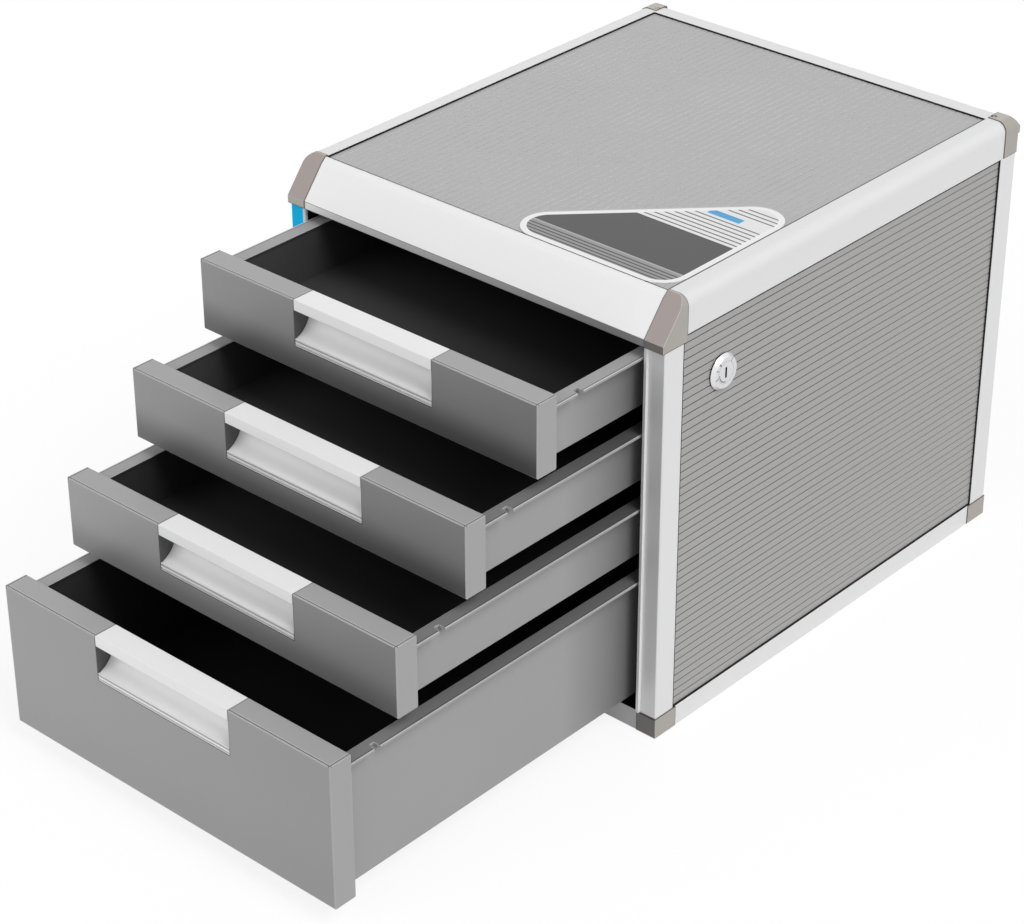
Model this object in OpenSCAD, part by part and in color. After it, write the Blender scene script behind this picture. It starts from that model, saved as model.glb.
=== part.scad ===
// Desktop drawer cabinet: an aluminium frame of posts and rails joined by plastic corners,
// ribbed infill panels, four drawers on side flanges and a key lock that bars all four.
// Origin: centre of the footprint on the desk. +X right, +Y back, +Z up. Millimetres.

/* [Cabinet] */
// Width over the corner posts
cab_w = 300; // [260:1:380]
// Depth from the face of the front posts to the face of the back posts
cab_d = 352; // [345:1:420]
// Height of the cabinet
cab_h = 294; // [280:1:360]

/* [Frame profiles] */
// Width of a post, and of the rails in line with it
post_w = 14; // [12:0.5:18]
// Depth of a post, seen from the side
post_d = 16.5; // [16.2:0.1:18]
// Wall of the hollow profiles
wall_t = 1.4; // [1:0.1:2]
// Height of the bottom rails and of the feet
rail_h = 14; // [12:0.5:18]
// Height of the top side and back rails
top_rail_h = 24; // [20:0.5:30]
// Width of the top back rail
back_rail_w = 16; // [14:0.5:18]
// Radius of the outer top edge of those rails
top_rail_r = 7; // [4:0.5:11]
// Width of the bead on the inner front edge of a post
bead_w = 2; // [0.8:0.1:2.5]
// How far the bead stands out of the post's face
bead_out = 1.8; // [0.5:0.1:2]
// Chamfer on the outer corner of a post
post_c = 0.6; // [0.2:0.1:1]
// Reach of the ledges that carry the panels
ledge_w = 5; // [4:0.5:7]
// Thickness of those ledges
ledge_t = 2; // [1.2:0.1:2.5]

/* [Sloped front rail] */
// Height of the sloped front rail, from its underside to the top
nose_h = 28.5; // [26:0.5:34]
// Distance that its slope runs back
nose_run = 20; // [16:0.5:21]
// Height of the upright band under the slope
nose_lip_h = 5; // [3:0.5:8]
// How far it stands in front of the posts
nose_out = 2; // [1.5:0.1:3]
// Run of the softer bevel at the top of the slope
bevel_w = 4; // [2:0.5:6]
// Rise of that bevel
bevel_h = 3.4; // [2:0.1:4]

/* [Plastic corners] */
// How far caps and feet stand proud of the profiles
cap_out = 0.4; // [0.2:0.1:1]
// Length of a front cap from its front face to its back edge
cap_front_l = 21.5; // [21:0.5:26]
// Length of a back cap on the side
cap_back_l = 14; // [13:0.5:18]
// Height of the hood at the top of a back cap
hood_h = 11; // [8:0.5:14]
// How far the hood stands out at the back
hood_out = 2.2; // [1:0.1:3]
// Length of a foot along the side
foot_l = 19.5; // [18:0.5:24]
// Width that a foot takes of the front rail, past the post
foot_in = 0.6; // [0.2:0.1:2]
// Length of the tongues that plug into the profiles
tongue_l = 12; // [8:1:18]
// Diameter of the round recess in a back cap
recess_d = 4; // [3:0.5:5]
// Depth of that recess
recess_h = 1.2; // [0.6:0.1:2]

/* [Panels] */
// Thickness of the infill panels
panel_t = 3; // [2:0.1:4]
// How far a panel lies behind the face of the frame
panel_set = 1; // [0.6:0.1:2]
// Width of the rubber seal round a panel
seal_w = 0.9; // [0.4:0.1:2]
// How far the seal lies behind the face of the frame
seal_set = 0.2; // [0.1:0.1:0.5]
// Spacing of the grooves
rib_pitch = 5.3; // [4:0.1:8]
// Width of a groove
rib_w = 1; // [0.6:0.1:1.6]
// Depth of a groove
rib_d = 0.6; // [0.3:0.1:1]
// Thickness of the bottom panel
floor_t = 2; // [1.5:0.1:3]

/* [Drawers] */
// Height of the front of a shallow drawer
shallow_h = 47; // [45:0.5:49]
// Gap between two drawer fronts
drawer_gap = 3.6; // [2:0.1:5]
// Thickness of a drawer front
front_t = 16; // [14:0.5:16]
// Gap between a drawer front and a post
side_gap = 1.3; // [0.8:0.1:2]
// Gap over the top drawer front
top_gap = 0.9; // [0.6:0.1:2]
// Gap under the bottom drawer front
bottom_gap = 1.8; // [1:0.1:3]
// Skin of the hollow drawer fronts
front_skin = 2.4; // [1.6:0.1:3]
// Chamfer on the edges of a drawer front
front_c = 0.5; // [0.3:0.1:1]
// Width and depth of the line round the top of a drawer front
top_line_w = 0.5; // [0.3:0.1:0.8]
// Distance of that line from the edges
top_line_in = 0.9; // [0.8:0.1:2]
// Length of a drawer that stays in the cabinet when it is fully open
stop_keep = 58; // [50:1:120]
// Share of its travel that the top drawer stands open at rest
open_1_share = 0.332; // [0:0.001:1]
// Share of its travel that the second drawer stands open at rest
open_2_share = 0.545; // [0:0.001:1]
// Share of its travel that the third drawer stands open at rest
open_3_share = 0.748; // [0:0.001:1]
// Share of its travel that the deep drawer stands open at rest
open_4_share = 0.94; // [0:0.001:1]

/* [Trays] */
// Length of a tray behind its front
tray_l = 317; // [300:1:318]
// Wall of a tray
tray_t = 2.2; // [1.5:0.1:3]
// Depth of the tray's rim below the top of the front
rim_drop = 7; // [5:0.5:9]
// Height of the tray's underside over the lower edge of the front
tray_lift = 3.5; // [2:0.5:6]
// Width of a side flange, from the wall to the outer edge
flange_w = 7; // [6:0.5:7.5]
// Thickness of a side flange
flange_t = 1.4; // [1.2:0.1:2.5]
// How far the flange stays inside the ends of the front
flange_in = 0.4; // [0.2:0.1:1]
// Height of the tabs that hang from the flanges, beside the wall
tab_h = 3; // [2:0.1:4]
// Width of those tabs
tab_w = 3; // [2:0.1:3.2]
// Width of the bead inside the rim
rim_in = 0.8; // [0.4:0.1:1.5]
// Distance of the right flange's notch from the face of the drawer front
notch_back = 34.5; // [30:0.5:40]
// Length of that notch at the flange's edge
notch_w = 5; // [4:0.1:6]
// How far the notch reaches in
notch_d = 5.5; // [4:0.1:6.5]
// How far the front side of the notch slants back
notch_slant = 1.4; // [0.5:0.1:2]

/* [Handles] */
// Width of a handle
handle_w = 110; // [90:1:140]
// Height of a handle
handle_h = 30.5; // [28:0.5:34]
// Wall of the handle
handle_t = 2.2; // [1.5:0.1:3]
// Height of the lip at the front of the handle's top
handle_lip_h = 7; // [5:0.1:8.5]
// Height of the straight part of the finger recess
recess_top_h = 9; // [7:0.5:11]
// Radius of the scoop under it
scoop_r = 18; // [16:0.5:22]
// Height of the foot under the scoop
handle_foot_h = 4.6; // [3:0.1:6]
// Gap between a handle and the cut-out that it sits in
handle_gap = 0.15; // [0.1:0.05:0.3]

/* [Runners] */
// Thickness of the runner plates, their ledges and walls
runner_t = 2; // [1.5:0.1:2.5]
// Clearance under a flange
run_gap = 0.3; // [0.2:0.05:0.5]
// Clearance beside a flange and over it
side_run = 0.6; // [0.4:0.05:0.8]
// Clearance between a tray's wall and the runner
wall_run = 1; // [0.6:0.1:1.5]

/* [Lock] */
// Distance of the lock from the front face of the posts
lock_back = 54; // [50:1:70]
// Distance of the lock below the top of the cabinet
lock_drop = 61.7; // [58:0.1:66]
// Diameter of the escutcheon
lock_d = 23; // [20:0.5:26]
// How far the escutcheon stands out of the panel
lock_out = 3.2; // [2:0.1:4]
// Diameter of the threaded barrel
barrel_d = 16; // [14:0.5:18]
// Length of the barrel behind the panel's face
barrel_l = 6.5; // [6.2:0.1:6.8]
// Diameter of the turning plug
plug_d = 9.6; // [8:0.2:10]
// Diameter of the plug's face
plug_face_d = 13.9; // [12:0.1:15]
// Distance of the crank pin from the plug's axis
crank_r = 6; // [5.5:0.1:7]
// Diameter of the crank pin
pin_d = 3; // [2.5:0.1:3.4]
// Width of the lock bar
bar_w = 8; // [6:0.5:9]
// Thickness of the lock bar
bar_t = 2; // [1.5:0.1:2.2]
// Length of the bar's fingers, along the drawers
finger_l = 3.4; // [2.5:0.1:5]

/* [Labels] */
// Length of the two straight sides of the label on the top, over its round corners
label_side = 123; // [100:1:140]
// Radius of its two narrow corners
label_r = 20; // [12:1:25]
// Radius of its right-angled corner
label_corner_r = 22; // [6:1:24]
// Distance of the label from the edges of the top panel
label_in = 0.3; // [0.2:0.1:8]
// Thickness of a label
label_t = 0.3; // [0.2:0.1:0.5]
// Height of the label on the left post
post_label_h = 40; // [20:1:60]
// Width of the label on the left post
post_label_w = 11.2; // [6:0.1:11.2]

/* [Hidden] */
$fn = 48;
// Overrun of every cut
over = 1;
// How far joined shapes run into each other
bond = 0.5;
// Clearance between a tongue and the inside of its profile
fit = 0.3;
// Radial clearance of the plug in its barrel
plug_fit = 0.05;
// Clearance of the lock bar in its guides, and of the pin in its fork
bar_fit = 0.3;

// Screws: shank and head radius, head height, clearance of the shank
screw_r = 1.7;
screw_head_r = 3;
screw_head_h = 1.8;
screw_fit = 0.1;
screw_l = 9;
// Boss round each screw in a drawer front, and its distance from the front's end
boss_r = 4;
boss_in = 30;
// Distance of the screws from the upper and lower edge of a tray's front wall
boss_z = 10;
// Height of the runner screws over the bottom rails and under the sloped rail
runner_screw_z = 26;
// Screws of the bottom panel: shank and head radius, length, and distance from the corners
floor_screw_r = 1.5;
floor_head_r = 2.3;
floor_screw_l = 7;
floor_screw_in = 40;

// Parts of the lock
nut_t = 3;
nut_r = 12;
crank_t = 2.1;
crank_hub_r = 5;
crank_pin_hub_r = 2.8;
crank_screw_r = 1.5;
crank_screw_l = 5;
crank_head_r = 2.8;
crank_head_h = 1.5;
rim_h = 0.8;
rim_c = 1.6;
plug_seat = 2;
key_w = 1.6;
key_h = 7;
key_deep = 5;
// Half the angle that the crank turns through
half_turn = 45;
finger_w = 3.3;
finger_h = 2.8;
arm_h = 3;
prong_h = 2.4;
guide_h = 10;
guide_t = 2;
// Tabs under the flanges: a right one that the finger blocks, behind the notch, and a left one at
// the tray's end, which meets a stop on the left runner when the drawer is fully open
tab_t = 2;
tab_gap = 1;
stop_l = 4;
stop_gap = 0.5;

// Places of the frame
hx = cab_w / 2;
fy = -cab_d / 2;
by = cab_d / 2;
in_x = hx - post_w;
post_by = fy + post_d;
back_in = by - back_rail_w;
low_in = by - post_w;
top_z0 = cab_h - top_rail_h;
nose_z = cab_h - nose_h;
nose_y = fy - nose_out;
fascia_y = nose_y + nose_run;
cap_y1 = nose_y + cap_front_l;
panel_x = hx - panel_set;
pin_x = panel_x - panel_t;
panel_y = by - panel_set;
pin_y = panel_y - panel_t;
panel_z = cab_h - panel_set;
top_in = panel_z - panel_t;
seal_h = panel_t + panel_set - seal_set;
foot_y1 = fy - cap_out + foot_l;

// Places of the drawers, the top one first
front_w = 2 * (in_x - side_gap);
pitch = shallow_h + drawer_gap;
top_1 = nose_z - top_gap;
deep_h = top_1 - 3 * pitch - rail_h - bottom_gap;
drawer_top = [top_1, top_1 - pitch, top_1 - 2 * pitch, top_1 - 3 * pitch];
drawer_h = [shallow_h, shallow_h, shallow_h, deep_h];
travel = front_t + tray_l - stop_keep;
drawer_open = travel * [open_1_share, open_2_share, open_3_share, open_4_share];
flange_x = front_w / 2 - flange_in;
tray_x = flange_x - flange_w;

// Places of the runners
run_x = flange_x + side_run;
run_x0 = tray_x + wall_run;
ledge_x = tray_x + tab_w + side_run;
run_top = nose_z - run_gap;
run_x1 = pin_x - ledge_t - fit;
run_screw_x = (run_x + runner_t + run_x1) / 2;

// Places of the lock
lock_y = fy + lock_back;
lock_z = cab_h - lock_drop;
bar_x = run_x + runner_t + bar_fit;
bar_y = fy + notch_back + notch_w + tab_gap - bar_fit - finger_l / 2;
throw = 2 * crank_r * sin(half_turn);
pin_y0 = lock_y - crank_r * cos(half_turn);
pin_z0 = lock_z - crank_r * sin(half_turn);
plug_end_x = panel_x - barrel_l - plug_fit * 4;
arm_top = flange_t + tab_h + bar_fit + throw + bar_fit;

DRAWERS = [0, 1, 2, 3];

// Helpers

// A box from its lowest to its highest corner
module span(a, b) {
    translate(a) cube(b - a);
}

// An outline in X and Z carried along Y between two places
module along_y(y0, y1) {
    translate([0, y1, 0]) rotate([90, 0, 0]) linear_extrude(y1 - y0) children();
}

// An outline in Y and Z carried along X between two places
module along_x(x0, x1) {
    translate([x0, 0, 0]) rotate([90, 0, 90]) linear_extrude(x1 - x0) children();
}

module left() {
    mirror([1, 0, 0]) children();
}

module back() {
    mirror([0, 1, 0]) children();
}

// A rectangle whose far upper corner is round
module round_corner(a, b, r) {
    translate(a) square([b.x - a.x, b.y - a.y - r]);
    translate(a) square([b.x - a.x - r, b.y - a.y]);
    translate([b.x - r, b.y - r]) intersection() {
        circle(r);
        square(r);
    }
}

// A sheet with V grooves along its length: width u, from z = 0 up to its grooved face at t
module grooved(width, t) {
    n = floor(width / rib_pitch);
    first = (width - (n - 1) * rib_pitch) / 2;
    grooves = [for (i = [0:n - 1]) for (p = [[-rib_w / 2, 0], [0, -rib_d], [rib_w / 2, 0]])
        [first + i * rib_pitch + p.x, t + p.y]];
    polygon(concat([[0, 0], [0, t]], grooves, [[width, t], [width, 0]]));
}

// A flat ring between two rectangles, with its thickness along Z
module ring(a, b, w, t) {
    linear_extrude(t) difference() {
        translate(a) square(b - a);
        translate(a + [w, w]) square(b - a - [2 * w, 2 * w]);
    }
}

// Holes for the two runner screws in a right front post
module post_screw_holes() {
    for (z = [rail_h + runner_screw_z, nose_z - runner_screw_z])
        translate([run_screw_x, post_by, z]) rotate([90, 0, 0])
            cylinder(r = screw_r + screw_fit, h = 2 * screw_l, center = true);
}

// Posts

// Outline of the front right post
module post_outline() {
    difference() {
        polygon([
            [hx - post_c, fy], [hx, fy + post_c], [hx, post_by], [pin_x, post_by],
            [pin_x, post_by + ledge_w], [pin_x - ledge_t, post_by + ledge_w],
            [pin_x - ledge_t, post_by], [in_x, post_by], [in_x, fy - bead_out],
            [in_x + bead_w, fy - bead_out], [in_x + bead_w, fy]]);
        translate([in_x + wall_t, fy + wall_t])
            square([post_w - 2 * wall_t, post_d - 2 * wall_t]);
    }
}

module post(top) {
    difference() {
        translate([0, 0, rail_h]) linear_extrude(top - rail_h) post_outline();
        post_screw_holes();
    }
}

// The back post has one more ledge, for the back panel; it is drawn in the front right place
module back_post() {
    post(top_z0);
    translate([0, 0, rail_h]) linear_extrude(top_z0 - rail_h)
        translate([in_x - ledge_w, -pin_y]) square([ledge_w + bond, ledge_t]);
}

module post_front_right() {
    color("silver") post(nose_z);
}

module post_front_left() {
    color("silver") left() post(nose_z);
}

module post_back_right() {
    color("silver") back() back_post();
}

module post_back_left() {
    color("silver") left() back() back_post();
}

// Bottom rails

// Hollow square of a bottom rail
module bottom_rail_outline() {
    difference() {
        square([post_w, rail_h]);
        translate([wall_t, wall_t]) square([post_w - 2 * wall_t, rail_h - 2 * wall_t]);
    }
}

// Ledge over the edge of the bottom panel, on the right
module floor_ledge(l) {
    span([in_x - ledge_w, -l, floor_t], [in_x + bond, l, floor_t + ledge_t]);
}

// Places of the bottom panel's screws, along the left and right ledges
module at_floor_screws() {
    for (sx = [-1, 1], sy = [-1, 0, 1])
        translate([sx * (in_x - ledge_w / 2), sy * (low_in - floor_screw_in), 0]) children();
}

module floor_screw_holes() {
    at_floor_screws() cylinder(r = floor_screw_r + screw_fit, h = floor_screw_l);
}

module side_bottom_rail() {
    difference() {
        union() {
            along_y(foot_y1, -foot_y1) translate([in_x, 0]) bottom_rail_outline();
            floor_ledge(-foot_y1);
        }
        floor_screw_holes();
    }
    span([pin_x - ledge_t, post_by + ledge_w, rail_h - bond],
        [pin_x, -post_by - ledge_w, rail_h + ledge_w]);
}

// Rail across the cabinet, drawn at the back
module cross_bottom_rail() {
    along_x(foot_in - in_x, in_x - foot_in) translate([low_in, 0]) bottom_rail_outline();
    span([ledge_w + fit - in_x, low_in - ledge_w, floor_t],
        [in_x - ledge_w - fit, low_in + bond, floor_t + ledge_t]);
}

module bottom_rail_right() {
    color("silver") side_bottom_rail();
}

module bottom_rail_left() {
    color("silver") left() side_bottom_rail();
}

module bottom_rail_front() {
    color("silver") back() cross_bottom_rail();
}

module bottom_rail_back() {
    color("silver") {
        cross_bottom_rail();
        span([ledge_w - in_x, pin_y - ledge_t, rail_h - bond],
            [in_x - ledge_w, pin_y, rail_h + ledge_w]);
    }
}

// Top rails

// Hollow profile of width w with a round outer edge; u runs outwards from the inner face
module top_rail_outline(w) {
    difference() {
        round_corner([0, top_z0], [w, cab_h], top_rail_r);
        round_corner([wall_t, top_z0 + wall_t], [w - wall_t, cab_h - wall_t], top_rail_r - wall_t);
    }
}

module side_top_rail() {
    y0 = cap_y1;
    y1 = by - cap_back_l;
    along_y(y0, y1) translate([in_x, 0]) top_rail_outline(post_w);
    span([in_x - ledge_w, y0, top_in - ledge_t], [in_x + bond, back_in, top_in]);
    span([pin_x - ledge_t, post_by + ledge_w, top_z0 - ledge_w],
        [pin_x, -post_by - ledge_w, top_z0 + bond]);
}

module top_rail_right() {
    color("whitesmoke") side_top_rail();
}

module top_rail_left() {
    color("whitesmoke") left() side_top_rail();
}

module top_rail_back() {
    color("whitesmoke") {
        along_x(-in_x, in_x) translate([back_in, 0]) top_rail_outline(back_rail_w);
        span([ledge_w + fit - in_x, back_in - ledge_w, top_in - ledge_t],
            [in_x - ledge_w - fit, back_in + bond, top_in]);
        span([ledge_w - in_x, pin_y - ledge_t, top_z0 - ledge_w],
            [in_x - ledge_w, pin_y, top_z0 + bond]);
    }
}

// Inside of the sloped rail in Y and Z, drawn in by g from its outer faces
function nose_inside(g) = [
    [nose_y + g, nose_z + g], [nose_y + g, nose_z + nose_lip_h],
    [fascia_y - bevel_w, cab_h - bevel_h - g * 3 / 2],
    [fascia_y - g, cab_h - bevel_h - g], [fascia_y - g, nose_z + g]];

module top_rail_front() {
    color("white") {
        along_x(-in_x, in_x) difference() {
            polygon([
                [nose_y, nose_z], [nose_y, nose_z + nose_lip_h],
                [fascia_y - bevel_w, cab_h - bevel_h], [fascia_y, cab_h], [fascia_y, nose_z]]);
            polygon(nose_inside(wall_t));
        }
        span([ledge_w + fit - in_x, fascia_y - bond, top_in - ledge_t],
            [in_x - ledge_w - fit, fascia_y + ledge_w, top_in]);
    }
}

// Caps and feet

// Tongue into the side top rail, from the front cap backwards
module side_rail_tongue(y0, y1) {
    span([in_x + wall_t + fit, y0, top_z0 + wall_t + fit],
        [hx - wall_t - fit, y1, cab_h - top_rail_r]);
}

// Tongue into a post, from z0 to z1
module post_tongue(z0, z1) {
    span([in_x + wall_t + fit, fy + wall_t + fit, z0],
        [hx - wall_t - fit, post_by - wall_t - fit, z1]);
}

module cap_front() {
    difference() {
        intersection() {
            along_x(in_x, hx + cap_out) polygon([
                [nose_y - cap_out, nose_z],
                [nose_y - cap_out, nose_z + nose_lip_h],
                [fascia_y - bevel_w, cab_h - bevel_h + cap_out],
                [fascia_y, cab_h + cap_out], [cap_y1, cab_h + cap_out],
                [cap_y1, top_z0], [post_by, nose_z]]);
            along_y(nose_y - over, cap_y1 + over) round_corner(
                [in_x, nose_z], [hx + cap_out, cab_h + cap_out], top_rail_r);
        }
        // Room for the side panel and its seal behind the outer skin
        span([pin_x, post_by, nose_z - over], [hx - seal_set, cap_y1 + over, top_z0]);
    }
    post_tongue(nose_z - tongue_l, nose_z + bond);
    side_rail_tongue(cap_y1 - bond, cap_y1 + tongue_l);
    along_x(in_x - tongue_l, in_x + bond) polygon(nose_inside(wall_t + fit));
}

module cap_back() {
    hood_z = cab_h - hood_h;
    y0 = by - cap_back_l;
    difference() {
        intersection() {
            along_x(in_x, hx + cap_out) polygon([
                [y0, top_z0], [by + cap_out, top_z0], [by + cap_out, hood_z],
                [by + hood_out, hood_z], [by + hood_out, hood_z + 2 * hood_out],
                [by - hood_h / 4, cab_h + cap_out], [y0, cab_h + cap_out]]);
            along_y(y0 - over, by + hood_out + over) round_corner(
                [in_x, top_z0], [hx + cap_out, cab_h + cap_out], top_rail_r);
        }
        translate([in_x + recess_d / 2, y0 + recess_d, cab_h + cap_out - recess_h])
            cylinder(d = recess_d, h = recess_h + over);
    }
    back() post_tongue(top_z0 - tongue_l, top_z0);
    span([in_x + wall_t + fit, max(y0, wall_t + fit - post_by), top_z0 - bond],
        [hx - wall_t - fit, by - wall_t - fit, top_z0 + bond]);
    side_rail_tongue(y0 - tongue_l, y0 + bond);
    span([in_x - tongue_l, max(back_in, y0) + wall_t + fit, top_z0 + wall_t + fit],
        [in_x + bond, by - wall_t - fit, cab_h - top_rail_r]);
}

// Foot in the front right place
module foot() {
    span([in_x - foot_in, fy - cap_out, 0], [hx + cap_out, foot_y1, rail_h]);
    post_tongue(rail_h - bond, rail_h + tongue_l);
    span([in_x + wall_t + fit, foot_y1 - bond, wall_t + fit],
        [hx - wall_t - fit, foot_y1 + tongue_l, rail_h - wall_t - fit]);
    span([in_x - foot_in - tongue_l, fy + wall_t + fit, wall_t + fit],
        [in_x - foot_in + bond, fy + post_w - wall_t - fit, rail_h - wall_t - fit]);
}

module cap_front_right() {
    color("rosybrown") cap_front();
}

module cap_front_left() {
    color("rosybrown") left() cap_front();
}

module cap_back_right() {
    color("rosybrown") cap_back();
}

module cap_back_left() {
    color("rosybrown") left() cap_back();
}

module foot_front_right() {
    color("rosybrown") foot();
}

module foot_front_left() {
    color("rosybrown") left() foot();
}

module foot_back_right() {
    color("rosybrown") back() foot();
}

module foot_back_left() {
    color("rosybrown") left() back() foot();
}

// Panels and seals

module panel_top() {
    w = 2 * (in_x - seal_w);
    color("darkgray") along_y(fascia_y + seal_w, back_in - seal_w)
        translate([-w / 2, top_in]) grooved(w, panel_t);
}

// Side panel on the right; its grooves lie level
module side_panel() {
    along_y(post_by + seal_w, -post_by - seal_w)
        translate([pin_x, rail_h + seal_w]) mirror([1, -1])
            grooved(top_z0 - rail_h - 2 * seal_w, panel_t);
}

module panel_left() {
    color("darkgray") left() side_panel();
}

module panel_right() {
    color("darkgray") difference() {
        side_panel();
        translate([pin_x - over, lock_y, lock_z]) rotate([0, 90, 0])
            cylinder(d = barrel_d + 2 * screw_fit, h = panel_t + 2 * over);
    }
}

module panel_back() {
    color("darkgray") along_x(seal_w - in_x, in_x - seal_w)
        translate([pin_y, rail_h + seal_w]) mirror([1, -1])
            grooved(top_z0 - rail_h - 2 * seal_w, panel_t);
}

module panel_bottom() {
    x = in_x - fit;
    y = low_in - fit;
    cut = [x - in_x + 2 * foot_in, y + foot_y1 + fit];
    color("dimgray") difference() {
        span([-x, -y, 0], [x, y, floor_t]);
        // Corners cut out round the feet
        for (sx = [-1, 1], sy = [-1, 1]) translate([sx * x, sy * y, floor_t / 2])
            cube([2 * cut.x, 2 * cut.y, 2 * floor_t], center = true);
        at_floor_screws() floor_screw(screw_fit);
    }
}

// Countersunk screw pointing up, grown by g for its hole
module floor_screw(g) {
    head_h = floor_head_r - floor_screw_r;
    rotate_extrude() polygon([
        [0, -g], [floor_head_r + g, -g], [floor_head_r + g, g], [floor_screw_r + g, head_h + g],
        [floor_screw_r + g, floor_screw_l], [0, floor_screw_l]]);
}

module bottom_screws() {
    color("silver") at_floor_screws() floor_screw(0);
}

module seal_top() {
    color("black") translate([0, 0, top_in])
        ring([-in_x, fascia_y], [in_x, back_in], seal_w, seal_h);
}

// Seal of the right side panel
module side_seal() {
    translate([pin_x, 0, 0]) rotate([90, 0, 90])
        ring([post_by, rail_h], [-post_by, top_z0], seal_w, seal_h);
}

module seal_right() {
    color("black") side_seal();
}

module seal_left() {
    color("black") left() side_seal();
}

module seal_back() {
    color("black") translate([0, by - seal_set, 0]) rotate([90, 0, 0])
        ring([-in_x, rail_h], [in_x, top_z0], seal_w, seal_h);
}

// Runners

// Height range of the arms of the lock bar under a flange, from rest to raised
function window_z(i) = [drawer_top[i] - rim_drop - arm_top - arm_h - bar_fit,
    drawer_top[i] - rim_drop - flange_t];

module runner() {
    y0 = post_by;
    y1 = -post_by;
    span([run_x, y0, rail_h], [run_x + runner_t, y1, run_top]);
    span([run_x, y1 - runner_t, rail_h], [run_x1, y1, run_top]);
    difference() {
        span([run_x0, y0, rail_h], [run_x1, y0 + runner_t, run_top]);
        for (i = DRAWERS) {
            z = drawer_top[i] - rim_drop;
            span([run_x0 - over, y0 - over, z - flange_t - tab_h - run_gap],
                [run_x, y0 + runner_t + over, z + side_run]);
        }
    }
    for (i = DRAWERS) {
        z = drawer_top[i] - rim_drop;
        low = z - flange_t - run_gap;
        span([ledge_x, y0, low - runner_t], [run_x + bond, y1 - bond, low]);
        span([run_x0, y0, z + side_run],
            [run_x + bond, y1 - bond, min(z + side_run + runner_t, run_top)]);
    }
}

// Cuts for the screws at both ends of a runner
module runner_screw_holes() {
    post_screw_holes();
    back() post_screw_holes();
}

module runner_left() {
    stop_y = fy + stop_keep - tab_t - stop_gap;
    color("black") left() {
        difference() {
            runner();
            runner_screw_holes();
        }
        for (i = DRAWERS) {
            low = drawer_top[i] - rim_drop - flange_t - run_gap;
            span([run_x0, stop_y - stop_l, low - runner_t], [ledge_x + bond, stop_y, low]);
        }
    }
}

module runner_right() {
    slot = finger_l / 2 + 2 * bar_fit;
    color("black") difference() {
        runner();
        runner_screw_holes();
        for (i = DRAWERS)
            span([run_x0 - over, bar_y - slot, window_z(i)[0]],
                [run_x + runner_t + over, bar_y + slot, window_z(i)[1]]);
    }
}

// A screw along +Y, its head's seat at the origin
module screw(l) {
    translate([0, bond, 0]) rotate([90, 0, 0]) cylinder(r = screw_r, h = l + bond);
    rotate([-90, 0, 0]) cylinder(r = screw_head_r, h = screw_head_h);
}

module runner_screws() {
    heights = [rail_h + runner_screw_z, nose_z - runner_screw_z];
    color("gray") for (sx = [0, 1], sy = [0, 1], z = heights)
        mirror([sx, 0, 0]) mirror([0, sy, 0])
            translate([run_screw_x, post_by + runner_t, z]) screw(screw_l);
}

// Lock

// A round outline of radius and place along +X, turned about the lock's axis
module on_lock_axis() {
    translate([panel_x, lock_y, lock_z]) rotate([0, 90, 0]) children();
}

module lock_barrel() {
    bore = plug_d / 2 + plug_fit;
    face = plug_face_d / 2 + plug_fit;
    color("gainsboro") on_lock_axis() rotate_extrude() polygon([
        [bore, -barrel_l], [barrel_d / 2, -barrel_l], [barrel_d / 2, 0], [lock_d / 2, 0],
        [lock_d / 2, rim_h], [lock_d / 2 - rim_c, lock_out], [face, lock_out],
        [face, lock_out - plug_seat], [bore, lock_out - plug_seat]]);
}

module lock_nut() {
    color("silver") translate([pin_x - nut_t, lock_y, lock_z]) rotate([0, 90, 0]) difference() {
        cylinder(r = nut_r, h = nut_t, $fn = 6);
        translate([0, 0, -over]) cylinder(d = barrel_d + 2 * screw_fit, h = nut_t + 2 * over);
    }
}

module lock_plug() {
    seat = lock_out - plug_seat + 2 * plug_fit;
    end = plug_end_x - panel_x;
    color("gainsboro") difference() {
        on_lock_axis() rotate_extrude() polygon([
            [0, end], [plug_d / 2, end], [plug_d / 2, seat], [plug_face_d / 2, seat],
            [plug_face_d / 2, lock_out], [0, lock_out]]);
        translate([panel_x + lock_out, lock_y, lock_z])
            cube([2 * key_deep, key_w, key_h], center = true);
        translate([plug_end_x - over, lock_y, lock_z]) rotate([0, 90, 0])
            cylinder(r = crank_screw_r + screw_fit, h = crank_screw_l + over);
    }
}

module lock_crank() {
    color("silver") difference() {
        translate([plug_end_x - crank_t, 0, 0]) rotate([90, 0, 90]) {
            translate([lock_y, lock_z]) cylinder(r = crank_hub_r, h = crank_t);
            translate([pin_y0, pin_z0]) cylinder(r = crank_pin_hub_r, h = crank_t);
            translate([lock_y, lock_z]) rotate(180 + half_turn)
                translate([0, -crank_pin_hub_r]) cube([crank_r, 2 * crank_pin_hub_r, crank_t]);
        }
        translate([plug_end_x - crank_t - over, lock_y, lock_z]) rotate([0, 90, 0])
            cylinder(r = crank_screw_r + screw_fit, h = crank_t + 2 * over);
    }
    color("silver") translate([run_x + runner_t + bar_fit / 2, pin_y0, pin_z0]) rotate([0, 90, 0])
        cylinder(d = pin_d, h = plug_end_x - crank_t / 2 - run_x - runner_t - bar_fit / 2);
}

module lock_crank_screw() {
    color("gray") translate([plug_end_x - crank_t, lock_y, lock_z]) {
        translate([-bond, 0, 0]) rotate([0, 90, 0])
            cylinder(r = crank_screw_r, h = bond + crank_t + crank_screw_l - over);
        rotate([0, -90, 0]) cylinder(r = crank_head_r, h = crank_head_h);
    }
}

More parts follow.
